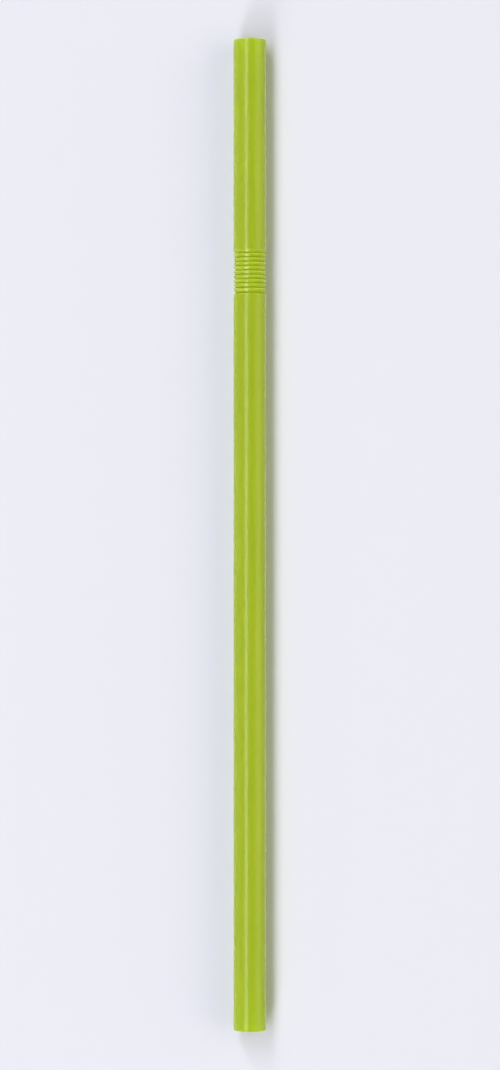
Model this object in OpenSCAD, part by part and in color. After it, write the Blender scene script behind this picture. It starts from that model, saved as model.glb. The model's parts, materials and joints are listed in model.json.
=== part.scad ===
// A flexible drinking straw, lying on its side along X with the mouth end towards +X.
// It is one thin-walled plastic tube. Near the mouth end the wall is pressed into hairpin folds,
// which are pushed together here, as they are before the straw is pulled out and bent.

/* [Tube] */
// Length of the whole straw with its folds pushed together
straw_length = 240; // [180:5:300]
// Outside diameter of the tube
straw_d = 8; // [6:0.5:12]
// Thickness of the plastic
wall = 0.2; // [0.14:0.01:0.25]

/* [Folds] */
// Length of plain tube between the mouth end and the folds
mouth_arm = 51; // [35:0.5:80]
// Number of folds
fold_count = 10; // [5:1:20]
// How far the folds reach in from the outside of the tube
fold_depth = 1; // [0.85:0.05:1.4]
// How far the last fold, the one nearest to the cup end, reaches in
last_fold_depth = 0.75; // [0.6:0.05:1]
// Angle between the sides of a fold and the straw's length
fold_angle = 31; // [25:1:38]
// Angle between the last fold's open side, which stands up, and the straw's length
open_side_angle = 80; // [60:5:85]
// Air left between two sides of a fold when the folds are pushed together
fold_gap = 0.07; // [0.03:0.01:0.1]

/* [Hidden] */

$fn = 48;
// Steps in the outer curve of a bend, which turns half a circle
bend_steps = 8;
// Fewest steps in any curve
fewest_steps = 3;

straw_r = straw_d / 2;

// The sides of the folds are parallel. Each bend turns the middle of the wall round this radius.
side_spacing = wall + fold_gap;
bend_r = side_spacing / 2;
// Each fold holds two walls and two gaps, which sets how far it moves the next one along.
fold_pitch = 2 * side_spacing / sin(fold_angle);

// How much nearer the middle line the bend at the bottom of a fold lies than the bend at its top
function bend_drop(depth) = depth - wall - side_spacing;

// Distance along the straw between the bends at the two ends of a side
function side_run(angle, depth) = (side_spacing + bend_drop(depth) * cos(angle)) / sin(angle);

// Centres of the bends, as [along the straw from the mouth end, out from its middle line]
crest_r = straw_r - wall / 2 - bend_r;
function crest(k) = [mouth_arm + k * fold_pitch, crest_r];
function root(k, depth) = crest(k) + [side_run(fold_angle, depth), -bend_drop(depth)];
last_root = root(fold_count - 1, last_fold_depth);
cup_arm_bend = [last_root[0] + side_run(open_side_angle, last_fold_depth), crest_r];

// Even points on an arc, from one angle to another
function arc(centre, r, from, to) =
    let (steps = max(fewest_steps,
                     ceil(bend_steps * r / (bend_r + wall / 2) * abs(to - from) / 180)))
    [for (i = [0:steps])
        let (a = from + (to - from) * i / steps)
        centre + r * [cos(a), sin(a)]];

// One face of the wall from the mouth end to the cup end: side is 1 for the outside, -1 for the inside.
function face(side) =
    let (
        tube_r = straw_r - wall / 2 + side * wall / 2,
        over_crest = bend_r + side * wall / 2,
        round_root = bend_r - side * wall / 2,
        arriving = 270 - fold_angle,
        leaving = 90 - fold_angle
    )
    [
        [0, tube_r],
        each arc(crest(0), over_crest, 90, leaving),
        for (k = [1:fold_count - 1]) each [
            each arc(root(k - 1, fold_depth), round_root, arriving, leaving + 360),
            each arc(crest(k), over_crest, arriving, leaving)
        ],
        each arc(last_root, round_root, arriving, 270 + open_side_angle),
        each arc(cup_arm_bend, over_crest, 90 + open_side_angle, 90),
        [straw_length, tube_r]
    ];

function reversed(list) = [for (i = [len(list) - 1:-1:0]) list[i]];

// Half of the straw's lengthwise section, as [out, along] for turning about the middle line
module wall_section() {
    outline = concat(face(1), reversed(face(-1)));
    polygon([for (p = outline) [p[1], p[0]]]);
}

module straw() {
    color("yellowgreen")
        translate([straw_length / 2, 0, straw_r])
            rotate([0, -90, 0])
                rotate_extrude()
                    wall_section();
}

straw();
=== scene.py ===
"""A flexible drinking straw on a pale floor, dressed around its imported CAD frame.

The straw lies along X with its mouth end towards +X. Its wall is drawn once as a lengthwise section:
a plain arm, one fold, and the other arm. Geometry Nodes repeat the fold, join it to the arms and turn
the section round the straw's middle line.
"""

import json
import logging
import math
from dataclasses import dataclass, field
from enum import Enum

import bmesh
import bpy
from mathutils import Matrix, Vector


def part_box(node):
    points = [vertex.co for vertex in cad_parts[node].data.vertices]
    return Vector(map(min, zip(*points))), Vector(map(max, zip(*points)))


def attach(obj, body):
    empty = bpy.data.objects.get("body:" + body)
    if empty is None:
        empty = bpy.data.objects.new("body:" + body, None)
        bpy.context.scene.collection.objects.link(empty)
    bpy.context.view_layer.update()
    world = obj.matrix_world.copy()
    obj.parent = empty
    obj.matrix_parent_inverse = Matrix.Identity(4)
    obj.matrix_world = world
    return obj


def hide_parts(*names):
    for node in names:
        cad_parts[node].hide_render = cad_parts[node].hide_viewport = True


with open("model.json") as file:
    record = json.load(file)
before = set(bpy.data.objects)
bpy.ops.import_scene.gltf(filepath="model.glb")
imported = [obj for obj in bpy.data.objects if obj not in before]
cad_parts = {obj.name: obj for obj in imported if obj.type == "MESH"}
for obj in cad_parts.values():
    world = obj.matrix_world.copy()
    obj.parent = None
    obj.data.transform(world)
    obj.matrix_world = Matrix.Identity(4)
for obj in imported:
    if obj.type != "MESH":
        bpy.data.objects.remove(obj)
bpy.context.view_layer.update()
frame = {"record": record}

MM = 0.001
NODE = "straw"
BODY = "root"

# Points closer than this are one point, where lines of the section meet
WELD = 0.0005 * MM
# How often the folds' wander and the wall's wave change in a metre, along X, Y and Z
FOLD_WANDER_SCALE = (420.0, 260.0, 260.0)
WALL_WAVE_SCALE = (22.0, 110.0, 110.0)
# Keeps the waving wall inside the CAD box, as a share of its wave
WALL_INSET = 0.4
# The value that a noise swings about
NOISE_MIDDLE = 0.5
# Keeps the part of a vector that lies across the straw
ACROSS = (0.0, 1.0, 1.0)

# Directions in the section, in degrees, where 0 points to the cup end
OUTWARD, MOUTHWARD, INWARD = 90, 180, 270
HALF_TURN, FULL_TURN = 180, 360

# The sRGB standard's curve
SRGB_TOP = 255
SRGB_KNEE, SRGB_SLOPE = 0.04045, 12.92
SRGB_OFFSET, SRGB_POWER = 0.055, 2.4

Point = tuple[float, float]
Colour = tuple[float, float, float, float]

WHITE: Colour = (1.0, 1.0, 1.0, 1.0)

log = logging.getLogger("straw_scene")


class Face(Enum):
    """The two faces of the straw's wall, as which side of the wall's middle they lie on."""

    OUTSIDE = 1
    INSIDE = -1


class Tag(Enum):
    """What the section's points carry into the mesh, by attribute name."""

    REPEATED = "repeated_fold"
    FOLDED = "folded_wall"
    STRESS = "fold_stress"
    CUT = "cut_end"


def to_linear(part: int) -> float:
    """Gives the linear value of one part of an sRGB colour.

    Args:
        part: The red, green or blue part, from 0 to 255.

    Returns:
        The value, from 0 to 1.
    """
    share = part / SRGB_TOP
    if share <= SRGB_KNEE:
        return share / SRGB_SLOPE
    return ((share + SRGB_OFFSET) / (1 + SRGB_OFFSET)) ** SRGB_POWER


def from_srgb(red: int, green: int, blue: int) -> Colour:
    """Gives the linear colour of an sRGB one.

    Args:
        red: The red part, from 0 to 255.
        green: The green part, from 0 to 255.
        blue: The blue part, from 0 to 255.

    Returns:
        The linear colour, opaque.
    """
    return (to_linear(red), to_linear(green), to_linear(blue), 1.0)


def arc(centre: Point, radius: float, start: float, end: float, steps: int) -> list[Point]:
    """Gives even points on an arc.

    Args:
        centre: The arc's centre, as along and out.
        radius: Its radius.
        start: The first point's angle, in degrees.
        end: The last point's angle, in degrees.
        steps: How many equal steps the arc takes.

    Returns:
        The points from start to end, both included.
    """
    angles = [math.radians(start + (end - start) * i / steps) for i in range(steps + 1)]
    return [(centre[0] + radius * math.cos(a), centre[1] + radius * math.sin(a)) for a in angles]


@dataclass(frozen=True)
class TubeSize:
    """The straw's own sizes, which come from the frame.

    Along is measured from the mouth end towards the cup end, in metres.
    """

    length: float
    radius: float
    wall: float
    mouth_arm: float
    cup_arm: float
    mouth_x: float
    axis_z: float

    @classmethod
    def from_frame(cls, record: dict) -> "TubeSize":
        """Reads the sizes from the CAD node's box and the record's mounts.

        Args:
            record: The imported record.

        Returns:
            The straw's sizes.
        """
        low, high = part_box(NODE)
        mounts = {m["name"]: m for m in record["mounts"]}
        outside = mounts["mouth_arm_outside"]
        radius = outside["dims"]["r_mm"] * MM
        return cls(
            length=high.x - low.x,
            radius=radius,
            wall=radius - mounts["mouth_arm_bore"]["dims"]["r_mm"] * MM,
            mouth_arm=outside["dims"]["length_mm"] * MM,
            cup_arm=mounts["cup_arm_outside"]["dims"]["length_mm"] * MM,
            mouth_x=high.x,
            axis_z=(low.z + high.z) / 2,
        )


@dataclass(frozen=True)
class FoldBand:
    """The hairpin folds, with the values of the CAD source."""

    count: int = 10
    depth: float = 1.0 * MM
    last_depth: float = 0.75 * MM
    side_angle: float = 31.0
    open_side_angle: float = 80.0
    air: float = 0.07 * MM
    wander: float = 0.025 * MM


@dataclass
class Outline:
    """Lines of points in the half section, each point with its tags."""

    points: list[Point] = field(default_factory=list)
    tags: list[dict[Tag, float]] = field(default_factory=list)
    edges: list[tuple[int, int]] = field(default_factory=list)

    def add(self, line: list[Point], tags: list[dict[Tag, float]]) -> None:
        """Adds one open line.

        Args:
            line: Its points, in order.
            tags: The tags of each point.
        """
        first = len(self.points)
        self.points += line
        self.tags += tags
        self.edges += [(i, i + 1) for i in range(first, first + len(line) - 1)]


@dataclass(frozen=True)
class WallSection:
    """Half of the straw's lengthwise section, drawn as along and out."""

    tube: TubeSize
    folds: FoldBand
    bend_steps: int = 14
    fewest_steps: int = 6
    side_rings: tuple[float, float] = (0.12, 0.88)
    arm_step: float = 4.0 * MM
    inside_step: float = 8.0 * MM
    cut_round: float = 0.06 * MM
    cut_steps: int = 5

    @property
    def spacing(self) -> float:
        """Distance between the middles of two neighbouring sides."""
        return self.tube.wall + self.folds.air

    @property
    def pitch(self) -> float:
        """How far each fold moves the next one along."""
        return 2 * self.spacing / math.sin(math.radians(self.folds.side_angle))

    @property
    def bend_ends(self) -> tuple[float, float]:
        """Directions at which the wall arrives at a bend and leaves it."""
        return INWARD - self.folds.side_angle, OUTWARD - self.folds.side_angle

    def drop(self, depth: float) -> float:
        """How much nearer the middle line a fold's bottom bend lies than its top bend."""
        return depth - self.tube.wall - self.spacing

    def side_run(self, angle: float, depth: float) -> float:
        """Distance along the straw between the bends at the ends of a side with this angle."""
        turn = math.radians(angle)
        return (self.spacing + self.drop(depth) * math.cos(turn)) / math.sin(turn)

    def crest(self, k: int) -> Point:
        """Centre of the bend at the top of fold k."""
        out = self.tube.radius - self.tube.wall / 2 - self.spacing / 2
        return self.tube.mouth_arm + k * self.pitch, out

    def root(self, k: int, depth: float) -> Point:
        """Centre of the bend at the bottom of fold k."""
        along, out = self.crest(k)
        return along + self.side_run(self.folds.side_angle, depth), out - self.drop(depth)

    def bend(self, centre: Point, bulge: int, start: float, end: float) -> list[tuple[Point, float]]:
        """Gives one bend's points with the stress in the plastic, which peaks half-way round.

        Args:
            centre: The bend's centre.
            bulge: 1 on the bend's outer face and -1 on its inner face.
            start: The first point's angle, in degrees.
            end: The last point's angle, in degrees.

        Returns:
            The points, each with its stress from 0 to 1.
        """
        radius = self.spacing / 2 + bulge * self.tube.wall / 2
        widest = self.spacing / 2 + self.tube.wall / 2
        share = abs(end - start) / HALF_TURN * radius / widest
        steps = max(self.fewest_steps, math.ceil(self.bend_steps * share))
        line = arc(centre, radius, start, end, steps)
        return [(p, math.sin(math.pi * i / steps)) for i, p in enumerate(line)]

    def repeated_fold(self, face: Face) -> list[tuple[Point, float]]:
        """Gives one face of a whole fold, from the top of one crest to the top of the next.

        Args:
            face: Which face of the wall.

        Returns:
            The points, each with its stress.
        """
        side = face.value
        arriving, leaving = self.bend_ends
        parts = [
            self.bend(self.crest(0), side, OUTWARD, leaving),
            self.bend(self.root(0, self.folds.depth), -side, arriving, leaving + FULL_TURN),
            self.bend(self.crest(1), side, arriving, OUTWARD),
        ]
        return self.with_side_rings(parts)

    def last_fold(self, face: Face) -> list[tuple[Point, float]]:
        """Gives one face of the shallower fold that opens into the cup arm.

        Args:
            face: Which face of the wall.

        Returns:
            The points, each with its stress.
        """
        side, standing = face.value, self.folds.open_side_angle
        k = self.folds.count - 1
        arriving, leaving = self.bend_ends
        bottom = self.root(k, self.folds.last_depth)
        run = self.side_run(standing, self.folds.last_depth)
        shoulder = (bottom[0] + run, self.crest(k)[1])
        parts = [
            self.bend(self.crest(k), side, OUTWARD, leaving),
            self.bend(bottom, -side, arriving, INWARD + standing),
            self.bend(shoulder, side, OUTWARD + standing, OUTWARD),
        ]
        return self.with_side_rings(parts)

    def with_side_rings(self, parts: list[list[tuple[Point, float]]]) -> list[tuple[Point, float]]:
        """Joins bends, with two more points on each side between them to keep its shading flat.

        Args:
            parts: The bends, in order.

        Returns:
            One line through all of them.
        """
        line = list(parts[0])
        for part in parts[1:]:
            (start, _), (end, _) = line[-1], part[0]
            for share in self.side_rings:
                between = tuple(a + (b - a) * share for a, b in zip(start, end))
                line.append((between, 0.0))
            line += part
        return line

    def arm(self, start: float, end: float, out: float, step: float) -> list[Point]:
        """Gives a plain arm's points, with close rings at both of its ends.

        Args:
            start: Where the arm begins.
            end: Where it ends.
            out: Its distance from the middle line.
            step: The greatest distance between two rings.

        Returns:
            The points between the two ends, which are left out.
        """
        near = 2 * self.cut_round
        first, last = start + near, end - near
        count = math.ceil((last - first) / step)
        return [(first + (last - first) * i / count, out) for i in range(count + 1)]

    def cut(self, at_cup: bool) -> list[Point]:
        """Gives the cut end's edge from the outside to the inside, with its corners worn round.

        Args:
            at_cup: Whether it is the cup end, rather than the mouth end.

        Returns:
            The edge's points.
        """
        r, outer = self.cut_round, self.tube.radius
        inner = outer - self.tube.wall
        edge = arc((r, outer - r), r, OUTWARD, MOUTHWARD, self.cut_steps)
        edge += arc((r, inner + r), r, MOUTHWARD, INWARD, self.cut_steps)
        return [(self.tube.length - p[0], p[1]) if at_cup else p for p in edge]

    def draw(self) -> Outline:
        """Draws the arms and one fold.

        Returns:
            The lines, which meet once the fold is repeated.
        """
        outline = Outline()
        for face in Face:
            fold = self.repeated_fold(face)
            tags = [{Tag.REPEATED: 1.0, Tag.FOLDED: 1.0, Tag.STRESS: s} for _, s in fold]
            outline.add([p for p, _ in fold], tags)
        self.add_mouth_arm(outline)
        self.add_cup_arm(outline)
        log.info("section: fold pitch %.3f mm, cup arm %.2f mm", self.pitch / MM, self.tube.cup_arm / MM)
        return outline

    def add_mouth_arm(self, outline: Outline) -> None:
        """Adds the mouth arm's outside, cut end and inside.

        Args:
            outline: The section it is added to.
        """
        tube = self.tube
        outer, inner = tube.radius, tube.radius - tube.wall
        outside = self.arm(self.cut_round, tube.mouth_arm, outer, self.arm_step)
        inside = self.arm(self.cut_round, tube.mouth_arm, inner, self.inside_step)
        edge = self.cut(at_cup=False)
        line = [(tube.mouth_arm, outer), *reversed(outside), *edge, *inside, (tube.mouth_arm, inner)]
        tags = [{} for _ in line]
        for i in (0, -1):
            tags[i] = {Tag.FOLDED: 1.0}
        for i in range(len(outside) + 1, len(outside) + 1 + len(edge)):
            tags[i] = {Tag.CUT: 1.0}
        outline.add(line, tags)

    def add_cup_arm(self, outline: Outline) -> None:
        """Adds the last fold and the cup arm's outside, cut end and inside.

        Args:
            outline: The section it is added to.
        """
        tube = self.tube
        outer, inner = tube.radius, tube.radius - tube.wall
        fold_out, fold_in = self.last_fold(Face.OUTSIDE), self.last_fold(Face.INSIDE)
        end = tube.length - self.cut_round
        outside = self.arm(fold_out[-1][0][0], end, outer, self.arm_step)
        inside = self.arm(fold_in[-1][0][0], end, inner, self.inside_step)
        edge = self.cut(at_cup=True)
        folded_out = [{Tag.FOLDED: 1.0, Tag.STRESS: s} for _, s in fold_out]
        folded_in = [{Tag.FOLDED: 1.0, Tag.STRESS: s} for _, s in reversed(fold_in)]
        line = [p for p, _ in fold_out] + outside + edge
        line += list(reversed(inside)) + [p for p, _ in reversed(fold_in)]
        plain = [{} for _ in outside]
        tags = folded_out + plain + [{Tag.CUT: 1.0} for _ in edge] + [{} for _ in inside] + folded_in
        outline.add(line, tags)


class Tree:
    """A node tree under construction, with short ways to add and join nodes."""

    NODE_WIDTH = 180

    def __init__(self, tree: bpy.types.NodeTree) -> None:
        """Starts at the first column of the given tree."""
        self.tree = tree
        self.column = 0

    def add(self, kind: str, **settings: object) -> bpy.types.Node:
        """Adds a node and sets its properties.

        Args:
            kind: The node's Blender type.
            settings: Properties of the node, by name.

        Returns:
            The new node.
        """
        node = self.tree.nodes.new(kind)
        node.location = (self.NODE_WIDTH * self.column, 0)
        self.column += 1
        for name, value in settings.items():
            setattr(node, name, value)
        return node

    def join(self, source: bpy.types.NodeSocket, target: bpy.types.NodeSocket) -> None:
        """Links an output to an input."""
        self.tree.links.new(source, target)

    def math(self, operation: str, first: object, second: object) -> bpy.types.NodeSocket:
        """Adds a Math node.

        Args:
            operation: The operation's Blender name.
            first: Its first value, a socket or a number.
            second: Its second value, a socket or a number.

        Returns:
            The result's socket.
        """
        node = self.add("ShaderNodeMath", operation=operation)
        self.feed(node.inputs[0], first)
        self.feed(node.inputs[1], second)
        return node.outputs[0]

    def vector(
        self, operation: str, first: object, second: object, scale: object = None
    ) -> bpy.types.NodeSocket:
        """Adds a Vector Math node.

        Args:
            operation: The operation's Blender name.
            first: Its first vector, a socket or three numbers.
            second: Its second vector, or None.
            scale: Its scale, for the operation that has one.

        Returns:
            The result's socket.
        """
        node = self.add("ShaderNodeVectorMath", operation=operation)
        self.feed(node.inputs[0], first)
        if second is not None:
            self.feed(node.inputs[1], second)
        if scale is not None:
            self.feed(node.inputs["Scale"], scale)
        return node.outputs["Vector"]

    def noise(self, place: bpy.types.NodeSocket, scale: object, detail: float) -> bpy.types.NodeSocket:
        """Adds a Noise Texture node.

        Args:
            place: The vector it reads.
            scale: Its scale, a number or a socket.
            detail: Its detail.

        Returns:
            Its value's socket.
        """
        node = self.add("ShaderNodeTexNoise", noise_dimensions="3D")
        self.join(place, node.inputs["Vector"])
        self.feed(node.inputs["Scale"], scale)
        node.inputs["Detail"].default_value = detail
        return node.outputs["Fac"]

    def spread(
        self,
        value: bpy.types.NodeSocket,
        given: tuple[float, float],
        wanted: tuple[float, float] = (0.0, 1.0),
        curve: str = "LINEAR",
    ) -> bpy.types.NodeSocket:
        """Adds a Map Range node.

        Args:
            value: The value it reads.
            given: The lowest and highest value that it takes in.
            wanted: The values that it makes of them.
            curve: Blender's name for the way between the two.

        Returns:
            The result's socket.
        """
        node = self.add("ShaderNodeMapRange", interpolation_type=curve)
        self.join(value, node.inputs["Value"])
        node.inputs["From Min"].default_value, node.inputs["From Max"].default_value = given
        node.inputs["To Min"].default_value, node.inputs["To Max"].default_value = wanted
        return node.outputs["Result"]

    def mix(self, share: bpy.types.NodeSocket, first: object, second: object) -> bpy.types.NodeSocket:
        """Adds a Mix node for colours.

        Args:
            share: How much of the second colour shows.
            first: The first colour, a socket or a value.
            second: The second colour, a socket or a value.

        Returns:
            The mixed colour's socket.
        """
        node = self.add("ShaderNodeMix", data_type="RGBA")
        self.join(share, node.inputs["Factor"])
        self.feed(node.inputs["A"], first)
        self.feed(node.inputs["B"], second)
        return next(s for s in node.outputs if s.type == "RGBA")

    def feed(self, target: bpy.types.NodeSocket, value: object) -> None:
        """Links a socket or writes a plain value into an input.

        Args:
            target: The input.
            value: A socket, or the value itself.
        """
        if isinstance(value, bpy.types.NodeSocket):
            self.join(value, target)
        else:
            target.default_value = value


@dataclass(frozen=True)
class StrawTree:
    """The Geometry Nodes that make the whole straw from its section."""

    name: str = "straw_from_its_section"
    repeated_above: float = 0.5
    cut_above: float = 0.9
    noise_detail: float = 1.0

    def build(self) -> bpy.types.NodeTree:
        """Builds the tree.

        Returns:
            The node tree, with its sizes as named inputs.
        """
        group = bpy.data.node_groups.new(self.name, "GeometryNodeTree")
        group.is_modifier = True
        sockets = [
            ("Section", "NodeSocketGeometry"),
            ("Fold Count", "NodeSocketInt"),
            ("Fold Pitch", "NodeSocketFloat"),
            ("Radius", "NodeSocketFloat"),
            ("Axis Height", "NodeSocketFloat"),
            ("Sides Round", "NodeSocketInt"),
            ("Fold Wander", "NodeSocketFloat"),
            ("Wall Wave", "NodeSocketFloat"),
            ("Wall Finish", "NodeSocketMaterial"),
            ("Cut Finish", "NodeSocketMaterial"),
        ]
        for name, kind in sockets:
            group.interface.new_socket(name, in_out="INPUT", socket_type=kind)
        group.interface.new_socket("Straw", in_out="OUTPUT", socket_type="NodeSocketGeometry")
        tree = Tree(group)
        given = tree.add("NodeGroupInput").outputs
        section = self.repeat_fold(tree, given)
        wall = self.turn_round(tree, given, section)
        shaped = self.soften(tree, given, wall)
        self.finish(tree, given, shaped)
        return group

    @staticmethod
    def named(tree: Tree, tag: Tag) -> bpy.types.NodeSocket:
        """Adds a Named Attribute node.

        Args:
            tree: The tree it is added to.
            tag: Which attribute.

        Returns:
            The attribute's socket.
        """
        node = tree.add("GeometryNodeInputNamedAttribute", data_type="FLOAT")
        node.inputs["Name"].default_value = tag.value
        return node.outputs["Attribute"]

    def repeat_fold(self, tree: Tree, given: bpy.types.NodeOutputs) -> bpy.types.NodeSocket:
        """Repeats the fold along the straw and joins it to the arms.

        Args:
            tree: The tree.
            given: The tree's named inputs.

        Returns:
            The whole section, as one closed line.
        """
        split = tree.add("GeometryNodeSeparateGeometry", domain="POINT")
        tree.join(given["Section"], split.inputs["Geometry"])
        repeated = tree.math("GREATER_THAN", self.named(tree, Tag.REPEATED), self.repeated_above)
        tree.join(repeated, split.inputs["Selection"])
        places = tree.add("GeometryNodeMeshLine", mode="OFFSET")
        tree.join(tree.math("SUBTRACT", given["Fold Count"], 1.0), places.inputs["Count"])
        step = tree.add("ShaderNodeCombineXYZ")
        tree.join(tree.math("MULTIPLY", given["Fold Pitch"], -1.0), step.inputs["X"])
        tree.join(step.outputs["Vector"], places.inputs["Offset"])
        copies = tree.add("GeometryNodeInstanceOnPoints")
        tree.join(places.outputs["Mesh"], copies.inputs["Points"])
        tree.join(split.outputs["Selection"], copies.inputs["Instance"])
        real = tree.add("GeometryNodeRealizeInstances")
        tree.join(copies.outputs["Instances"], real.inputs["Geometry"])
        both = tree.add("GeometryNodeJoinGeometry")
        tree.join(real.outputs["Geometry"], both.inputs["Geometry"])
        tree.join(split.outputs["Inverted"], both.inputs["Geometry"])
        weld = tree.add("GeometryNodeMergeByDistance")
        tree.join(both.outputs["Geometry"], weld.inputs["Geometry"])
        weld.inputs["Distance"].default_value = WELD
        return weld.outputs["Geometry"]

    def turn_round(
        self, tree: Tree, given: bpy.types.NodeOutputs, section: bpy.types.NodeSocket
    ) -> bpy.types.NodeSocket:
        """Turns the section round the straw's middle line.

        Args:
            tree: The tree.
            given: The tree's named inputs.
            section: The closed section line.

        Returns:
            The wall's closed mesh, lying along X at its height.
        """
        place = tree.add("GeometryNodeInputPosition")
        parts = tree.add("ShaderNodeSeparateXYZ")
        tree.join(place.outputs["Position"], parts.inputs["Vector"])
        local = tree.add("ShaderNodeCombineXYZ")
        tree.join(tree.math("SUBTRACT", parts.outputs["Z"], given["Radius"]), local.inputs["X"])
        tree.join(tree.math("MULTIPLY", parts.outputs["X"], -1.0), local.inputs["Y"])
        flat = tree.add("GeometryNodeSetPosition")
        tree.join(section, flat.inputs["Geometry"])
        tree.join(local.outputs["Vector"], flat.inputs["Position"])
        line = tree.add("GeometryNodeMeshToCurve")
        tree.join(flat.outputs["Geometry"], line.inputs["Mesh"])
        circle = tree.add("GeometryNodeCurvePrimitiveCircle", mode="RADIUS")
        tree.join(given["Sides Round"], circle.inputs["Resolution"])
        tree.join(given["Radius"], circle.inputs["Radius"])
        sweep = tree.add("GeometryNodeCurveToMesh")
        tree.join(circle.outputs["Curve"], sweep.inputs["Curve"])
        tree.join(line.outputs["Curve"], sweep.inputs["Profile Curve"])
        lie = tree.add("GeometryNodeTransform")
        tree.join(sweep.outputs["Mesh"], lie.inputs["Geometry"])
        lie.inputs["Rotation"].default_value = (0.0, math.pi / 2, 0.0)
        height = tree.add("ShaderNodeCombineXYZ")
        tree.join(given["Axis Height"], height.inputs["Z"])
        tree.join(height.outputs["Vector"], lie.inputs["Translation"])
        return lie.outputs["Geometry"]

    def soften(
        self, tree: Tree, given: bpy.types.NodeOutputs, wall: bpy.types.NodeSocket
    ) -> bpy.types.NodeSocket:
        """Lets the folds wander a little and the wall wave a little inwards.

        Args:
            tree: The tree.
            given: The tree's named inputs.
            wall: The wall's mesh.

        Returns:
            The same mesh with its points moved.
        """
        place = tree.add("GeometryNodeInputPosition").outputs["Position"]
        folds = tree.noise(tree.vector("MULTIPLY", place, FOLD_WANDER_SCALE), 1.0, self.noise_detail)
        swing = tree.math("SUBTRACT", folds, NOISE_MIDDLE)
        swing = tree.math("MULTIPLY", swing, self.named(tree, Tag.FOLDED))
        along = tree.add("ShaderNodeCombineXYZ")
        tree.join(tree.math("MULTIPLY", swing, given["Fold Wander"]), along.inputs["X"])
        middle = tree.add("ShaderNodeCombineXYZ")
        tree.join(given["Axis Height"], middle.inputs["Z"])
        out = tree.vector("SUBTRACT", place, middle.outputs["Vector"])
        out = tree.vector("NORMALIZE", tree.vector("MULTIPLY", out, ACROSS), None)
        wave = tree.noise(tree.vector("MULTIPLY", place, WALL_WAVE_SCALE), 1.0, self.noise_detail)
        inwards = tree.math("MULTIPLY", tree.math("ADD", wave, WALL_INSET), given["Wall Wave"])
        inwards = tree.math("MULTIPLY", inwards, -1.0)
        move = tree.vector("ADD", along.outputs["Vector"], tree.vector("SCALE", out, None, inwards))
        shift = tree.add("GeometryNodeSetPosition")
        tree.join(wall, shift.inputs["Geometry"])
        tree.join(move, shift.inputs["Offset"])
        return shift.outputs["Geometry"]

    def finish(self, tree: Tree, given: bpy.types.NodeOutputs, wall: bpy.types.NodeSocket) -> None:
        """Makes the mesh real, smooth and dressed.

        Args:
            tree: The tree.
            given: The tree's named inputs.
            wall: The wall's mesh.
        """
        smooth = tree.add("GeometryNodeSetShadeSmooth")
        tree.join(wall, smooth.inputs["Geometry"])
        real = tree.add("GeometryNodeRealizeInstances")
        tree.join(smooth.outputs["Geometry"], real.inputs["Geometry"])
        plain = tree.add("GeometryNodeSetMaterial")
        tree.join(real.outputs["Geometry"], plain.inputs["Geometry"])
        tree.join(given["Wall Finish"], plain.inputs["Material"])
        ends = tree.add("GeometryNodeSetMaterial")
        tree.join(plain.outputs["Geometry"], ends.inputs["Geometry"])
        tree.join(given["Cut Finish"], ends.inputs["Material"])
        cut = tree.math("GREATER_THAN", self.named(tree, Tag.CUT), self.cut_above)
        tree.join(cut, ends.inputs["Selection"])
        result = tree.add("NodeGroupOutput")
        tree.join(ends.outputs["Geometry"], result.inputs["Straw"])


@dataclass(frozen=True)
class DrawnLines:
    """A shader group: the faint lines that a die leaves along what it extrudes, and soft clouds."""

    name: str = "drawn_lines"
    line_detail: float = 3.0
    cloud_detail: float = 2.0
    grain_detail: float = 2.0
    grain_share: float = 0.35

    def build(self) -> bpy.types.NodeTree:
        """Builds the group once, or finds it.

        Returns:
            The group, with Lines, Clouds and Height as outputs.
        """
        if self.name in bpy.data.node_groups:
            return bpy.data.node_groups[self.name]
        group = bpy.data.node_groups.new(self.name, "ShaderNodeTree")
        for name, kind in (
            ("Vector", "NodeSocketVector"),
            ("Line Stretch", "NodeSocketVector"),
            ("Cloud Stretch", "NodeSocketVector"),
            ("Grain Scale", "NodeSocketFloat"),
        ):
            group.interface.new_socket(name, in_out="INPUT", socket_type=kind)
        for name in ("Lines", "Clouds", "Height"):
            group.interface.new_socket(name, in_out="OUTPUT", socket_type="NodeSocketFloat")
        tree = Tree(group)
        given = tree.add("NodeGroupInput").outputs
        along = tree.vector("MULTIPLY", given["Vector"], given["Line Stretch"])
        lines = tree.noise(along, 1.0, self.line_detail)
        soft = tree.vector("MULTIPLY", given["Vector"], given["Cloud Stretch"])
        clouds = tree.noise(soft, 1.0, self.cloud_detail)
        grain = tree.noise(given["Vector"], given["Grain Scale"], self.grain_detail)
        result = tree.add("NodeGroupOutput")
        tree.join(lines, result.inputs["Lines"])
        tree.join(clouds, result.inputs["Clouds"])
        weaker = tree.math("MULTIPLY", grain, self.grain_share)
        tree.join(tree.math("ADD", lines, weaker), result.inputs["Height"])
        return group


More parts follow.
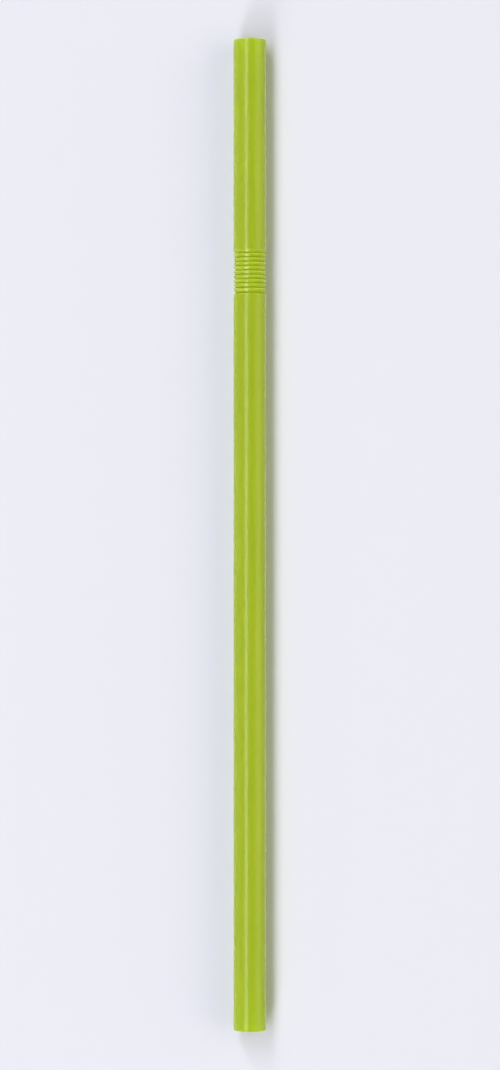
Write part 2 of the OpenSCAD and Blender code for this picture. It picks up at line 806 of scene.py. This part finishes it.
@dataclass(frozen=True)
class PlasticFinish:
    """Coloured, slightly see-through polypropylene, drawn along X."""

    name: str
    colour: Colour
    deep: Colour
    # The lighter colour: real stress whitening at the bends, and painted light that lifts the fold
    # band's shaded grooves
    whitening_and_painted_light: Colour
    line_stretch: tuple[float, float, float] = (6.0, 1700.0, 1700.0)
    cloud_stretch: tuple[float, float, float] = (35.0, 160.0, 160.0)
    grain_scale: float = 5200.0
    line_share: float = 0.45
    cloud_share: float = 0.55
    uneven_range: tuple[float, float] = (0.35, 0.65)
    line_range: tuple[float, float] = (0.3, 0.7)
    # How much of the lighter colour shows, for the whitening and the painted light alike
    whitening_and_painted_light_amount: float = 0.4
    strain_roughness: float = 0.06
    # The share of the lighter colour painted over the whole fold band: painted light in its shaded
    # grooves
    painted_fold_light_share: float = 0.85
    roughness: tuple[float, float] = (0.2, 0.28)
    bump_height: float = 0.004 * MM
    bump_strength: float = 0.3
    refraction: float = 1.49
    glow: float = 0.8
    glow_reach: float = 0.9 * MM
    glow_spread: tuple[float, float, float] = (0.8, 1.0, 0.25)

    def build(self) -> bpy.types.Material:
        """Builds the material.

        Returns:
            The finished material.
        """
        material = bpy.data.materials.new(self.name)
        material.use_nodes = True
        material.diffuse_color = self.colour
        material.node_tree.nodes.clear()
        tree = Tree(material.node_tree)
        place = tree.add("ShaderNodeTexCoord").outputs["Object"]
        drawn = tree.add("ShaderNodeGroup", node_tree=DrawnLines().build())
        tree.join(place, drawn.inputs["Vector"])
        drawn.inputs["Line Stretch"].default_value = self.line_stretch
        drawn.inputs["Cloud Stretch"].default_value = self.cloud_stretch
        drawn.inputs["Grain Scale"].default_value = self.grain_scale
        stress = tree.add("ShaderNodeAttribute", attribute_name=Tag.STRESS.value).outputs["Fac"]
        shader = tree.add("ShaderNodeBsdfPrincipled")
        tree.join(self.tint(tree, drawn, stress), shader.inputs["Base Color"])
        tree.join(self.gloss(tree, drawn, stress), shader.inputs["Roughness"])
        bump = tree.add("ShaderNodeBump")
        bump.inputs["Strength"].default_value = self.bump_strength
        bump.inputs["Distance"].default_value = self.bump_height
        tree.join(drawn.outputs["Height"], bump.inputs["Height"])
        tree.join(bump.outputs["Normal"], shader.inputs["Normal"])
        shader.inputs["IOR"].default_value = self.refraction
        shader.inputs["Subsurface Weight"].default_value = self.glow
        shader.inputs["Subsurface Radius"].default_value = self.glow_spread
        shader.inputs["Subsurface Scale"].default_value = self.glow_reach
        result = tree.add("ShaderNodeOutputMaterial")
        tree.join(shader.outputs["BSDF"], result.inputs["Surface"])
        return material

    def tint(
        self, tree: Tree, drawn: bpy.types.Node, stress: bpy.types.NodeSocket
    ) -> bpy.types.NodeSocket:
        """Mixes the colour from its lines, clouds, stress whitening at the bends and painted light over
        the fold band.

        Args:
            tree: The material's tree.
            drawn: The drawn lines group.
            stress: The stress in the folds' bends, which whitens them.

        Returns:
            The colour's socket.
        """
        lines = tree.math("MULTIPLY", drawn.outputs["Lines"], self.line_share)
        clouds = tree.math("MULTIPLY", drawn.outputs["Clouds"], self.cloud_share)
        uneven = tree.spread(tree.math("ADD", lines, clouds), self.uneven_range)
        body = tree.mix(uneven, self.deep, self.colour)
        folded = tree.add("ShaderNodeAttribute", attribute_name=Tag.FOLDED.value).outputs["Fac"]
        # Painted light: the whole fold band takes a share of the lighter colour to lift its shaded
        # grooves, and the stress adds real whitening at the bends
        whitening_and_painted_light_share = tree.math("MAXIMUM", stress, tree.math("MULTIPLY", folded, self.painted_fold_light_share))
        return tree.mix(tree.math("MULTIPLY", whitening_and_painted_light_share, self.whitening_and_painted_light_amount), body, self.whitening_and_painted_light)

    def gloss(
        self, tree: Tree, drawn: bpy.types.Node, stress: bpy.types.NodeSocket
    ) -> bpy.types.NodeSocket:
        """Gives the roughness, which the lines and the stress in the bends raise."""
        uneven = tree.spread(drawn.outputs["Lines"], self.line_range, self.roughness)
        return tree.math("ADD", uneven, tree.math("MULTIPLY", stress, self.strain_roughness))


@dataclass
class FlexibleStraw:
    """The straw: one tube with its arms, folds and cut ends."""

    tube: TubeSize
    folds: FoldBand
    wall_finish: PlasticFinish
    cut_finish: PlasticFinish
    sides_round: int = 128
    wall_wave: float = 0.03 * MM

    def section_object(self, section: WallSection) -> bpy.types.Object:
        """Puts the section's lines into an object for the modifier.

        Args:
            section: The section to draw.

        Returns:
            An object of points and edges in the XZ plane.
        """
        outline = section.draw()
        mesh = bpy.data.meshes.new("straw_section")
        places = [(self.tube.mouth_x - along, 0.0, out) for along, out in outline.points]
        mesh.from_pydata(places, outline.edges, [])
        for tag in Tag:
            values = mesh.attributes.new(tag.value, "FLOAT", "POINT")
            values.data.foreach_set("value", [t.get(tag, 0.0) for t in outline.tags])
        holder = bpy.data.objects.new("straw_section", mesh)
        bpy.context.scene.collection.objects.link(holder)
        return holder

    def build(self) -> bpy.types.Object:
        """Makes the straw's mesh and hands it to the frame.

        Returns:
            The straw's object.
        """
        section = WallSection(self.tube, self.folds)
        holder = self.section_object(section)
        tree = StrawTree().build()
        modifier = holder.modifiers.new("straw", "NODES")
        modifier.node_group = tree
        values = {
            "Fold Count": self.folds.count,
            "Fold Pitch": section.pitch,
            "Radius": self.tube.radius,
            "Axis Height": self.tube.axis_z,
            "Sides Round": self.sides_round,
            "Fold Wander": self.folds.wander,
            "Wall Wave": self.wall_wave,
            "Wall Finish": self.wall_finish.build(),
            "Cut Finish": self.cut_finish.build(),
        }
        for item in tree.interface.items_tree:
            if item.in_out == "INPUT" and item.name in values:
                modifier[item.identifier] = values[item.name]
        straw = self.as_plain_mesh(holder)
        bpy.data.objects.remove(holder)
        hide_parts(NODE)
        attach(straw, BODY)
        return straw

    @staticmethod
    def as_plain_mesh(holder: bpy.types.Object) -> bpy.types.Object:
        """Turns the modifier's result into a plain mesh whose faces point out of the plastic.

        Args:
            holder: The object with the modifier.

        Returns:
            A new object at the origin.
        """
        graph = bpy.context.evaluated_depsgraph_get()
        mesh = bpy.data.meshes.new_from_object(holder.evaluated_get(graph))
        mesh.name = "flexible_straw"
        work = bmesh.new()
        work.from_mesh(mesh)
        bmesh.ops.remove_doubles(work, verts=work.verts, dist=WELD)
        bmesh.ops.recalc_face_normals(work, faces=work.faces)
        work.to_mesh(mesh)
        work.free()
        straw = bpy.data.objects.new("flexible_straw", mesh)
        bpy.context.scene.collection.objects.link(straw)
        return straw


@dataclass(frozen=True)
class Lamp:
    """One soft rectangular lamp, aimed at the middle of the straw."""

    name: str
    place: tuple[float, float, float]
    size: tuple[float, float]
    power: float
    colour: tuple[float, float, float] = (1.0, 1.0, 1.0)

    def build(self) -> None:
        """Hangs the lamp in the scene."""
        light = bpy.data.lights.new(self.name, "AREA")
        light.shape = "RECTANGLE"
        light.size, light.size_y = self.size
        light.energy = self.power
        light.color = self.colour
        lamp = bpy.data.objects.new(self.name, light)
        lamp.location = self.place
        lamp.rotation_euler = Vector(self.place).to_track_quat("Z", "Y").to_euler()
        lamp.visible_camera = False
        bpy.context.scene.collection.objects.link(lamp)


@dataclass(frozen=True)
class Studio:
    """The floor, the lamps and the camera."""

    straw_length: float
    floor_colour: Colour = from_srgb(229, 230, 247)
    backdrop_colour: Colour = from_srgb(238, 237, 245)
    floor_half: float = 12.0
    floor_fade: tuple[float, float] = (0.16, 0.42)
    floor_roughness: float = 0.9
    floor_specular: float = 0.1
    camera_height: float = 0.8
    share_of_frame: float = 0.92
    sensor: float = 36.0
    world_strength: float = 0.2
    floor_mirrored: float = 1.0
    sky_mirrored: float = 0.4

    def build(self) -> None:
        """Builds everything around the straw."""
        self.add_floor()
        self.add_world()
        for lamp in self.lamps():
            lamp.build()
            log.info("lamp %s: %.1f W", lamp.name, lamp.power)
        self.add_camera()

    def lamps(self) -> list[Lamp]:
        """Plans the lamps.

        Returns:
            A long key lamp for the highlight, a lamp beyond each end for the folds, and two side fills.
        """
        return [
            Lamp(name="key", place=(0.0, 1.4, 2.8), size=(4.5, 1.0), power=50.0),
            Lamp(name="beyond_mouth", place=(3.0, 1.2, 2.65), size=(0.8, 2.2), power=44.0),
            Lamp(name="beyond_cup", place=(-3.0, 1.2, 1.9), size=(0.8, 2.2), power=51.0),
            Lamp(name="fill_left", place=(0.0, 4.2, 1.2), size=(5.6, 1.8), power=9.0),
            Lamp(
                name="fill_right",
                place=(0.0, -3.8, 2.0),
                size=(6.0, 3.8),
                power=108.0,
                colour=(1.0, 0.95, 0.55),
            ),
        ]

    def add_floor(self) -> None:
        """Lays the floor under the straw."""
        half = self.floor_half
        mesh = bpy.data.meshes.new("floor")
        corners = [(-half, -half, 0), (half, -half, 0), (half, half, 0), (-half, half, 0)]
        mesh.from_pydata(corners, [], [(0, 1, 2, 3)])
        floor = bpy.data.objects.new("floor", mesh)
        mesh.materials.append(self.floor_material())
        bpy.context.scene.collection.objects.link(floor)

    def floor_material(self) -> bpy.types.Material:
        """Builds the floor's matt surface, which fades into the backdrop away from the straw.

        Returns:
            The material.
        """
        material = bpy.data.materials.new("floor_matt")
        material.use_nodes = True
        material.node_tree.nodes.clear()
        tree = Tree(material.node_tree)
        matt = tree.add("ShaderNodeBsdfPrincipled")
        matt.inputs["Base Color"].default_value = self.floor_colour
        matt.inputs["Roughness"].default_value = self.floor_roughness
        matt.inputs["Specular IOR Level"].default_value = self.floor_specular
        backdrop = tree.add("ShaderNodeEmission")
        backdrop.inputs["Color"].default_value = self.backdrop_colour
        backdrop.inputs["Strength"].default_value = 1.0
        place = tree.add("ShaderNodeTexCoord").outputs["Object"]
        distance = tree.add("ShaderNodeVectorMath", operation="LENGTH")
        tree.join(place, distance.inputs[0])
        away = tree.spread(distance.outputs["Value"], self.floor_fade, curve="SMOOTHSTEP")
        either = tree.add("ShaderNodeMixShader")
        seen = self.seen_rays(tree, self.floor_mirrored)
        tree.join(tree.math("MULTIPLY", away, seen), either.inputs[0])
        tree.join(matt.outputs["BSDF"], either.inputs[1])
        tree.join(backdrop.outputs["Emission"], either.inputs[2])
        result = tree.add("ShaderNodeOutputMaterial")
        tree.join(either.outputs["Shader"], result.inputs["Surface"])
        return material

    @staticmethod
    def seen_rays(tree: Tree, mirrored: float) -> bpy.types.NodeSocket:
        """Tells the rays that show the backdrop, which are camera, transmission and glossy rays.

        Args:
            tree: The tree of the material or the world.
            mirrored: The share of the backdrop that glossy rays show.

        Returns:
            A socket that is 1 for camera and transmission rays, the share for glossy ones, and 0
            for the rest.
        """
        rays = tree.add("ShaderNodeLightPath").outputs
        straight = tree.math("MAXIMUM", rays["Is Camera Ray"], rays["Is Transmission Ray"])
        return tree.math("MAXIMUM", straight, tree.math("MULTIPLY", rays["Is Glossy Ray"], mirrored))

    def add_world(self) -> None:
        """Fills the room with even light, under a pale backdrop."""
        world = bpy.data.worlds.new("studio")
        world.use_nodes = True
        world.node_tree.nodes.clear()
        tree = Tree(world.node_tree)
        room = tree.add("ShaderNodeBackground")
        room.inputs["Color"].default_value = WHITE
        room.inputs["Strength"].default_value = self.world_strength
        backdrop = tree.add("ShaderNodeBackground")
        backdrop.inputs["Color"].default_value = self.backdrop_colour
        backdrop.inputs["Strength"].default_value = 1.0
        either = tree.add("ShaderNodeMixShader")
        tree.join(self.seen_rays(tree, self.sky_mirrored), either.inputs[0])
        tree.join(room.outputs["Background"], either.inputs[1])
        tree.join(backdrop.outputs["Background"], either.inputs[2])
        result = tree.add("ShaderNodeOutputWorld")
        tree.join(either.outputs["Shader"], result.inputs["Surface"])
        bpy.context.scene.world = world

    def add_camera(self) -> None:
        """Looks straight down, with the mouth end at the top of the picture."""
        view = bpy.data.cameras.new("camera")
        view.sensor_width = self.sensor
        view.lens = self.sensor * self.camera_height * self.share_of_frame / self.straw_length
        camera = bpy.data.objects.new("camera", view)
        camera.location = (0.0, 0.0, self.camera_height)
        camera.rotation_euler = (0.0, 0.0, -math.pi / 2)
        bpy.context.scene.collection.objects.link(camera)
        bpy.context.scene.camera = camera


def main() -> None:
    """Builds the straw and its studio, and reports each piece."""
    logging.basicConfig(level=logging.INFO, format="%(name)s: %(message)s")
    tube = TubeSize.from_frame(frame["record"])
    lime = PlasticFinish(
        name="lime_plastic",
        colour=from_srgb(169, 192, 10),
        deep=from_srgb(163, 187, 4),
        # Lighter colour for stress whitening at the bends and painted light over the fold band
        whitening_and_painted_light=from_srgb(194, 220, 50),
    )
    cut_lime = PlasticFinish(
        name="cut_lime_plastic",
        colour=from_srgb(184, 205, 86),
        deep=from_srgb(160, 184, 56),
        # Lighter colour for stress whitening and painted light, as on the wall
        whitening_and_painted_light=from_srgb(205, 222, 120),
        line_stretch=(5200.0, 900.0, 900.0),
        roughness=(0.42, 0.6),
        bump_strength=0.8,
    )
    straw = FlexibleStraw(tube, FoldBand(), lime, cut_lime).build()
    log.info("%s: %d faces", straw.name, len(straw.data.polygons))
    Studio(straw_length=tube.length).build()
    bpy.context.scene.view_settings.view_transform = "Standard"


if __name__ == "__main__":
    main()
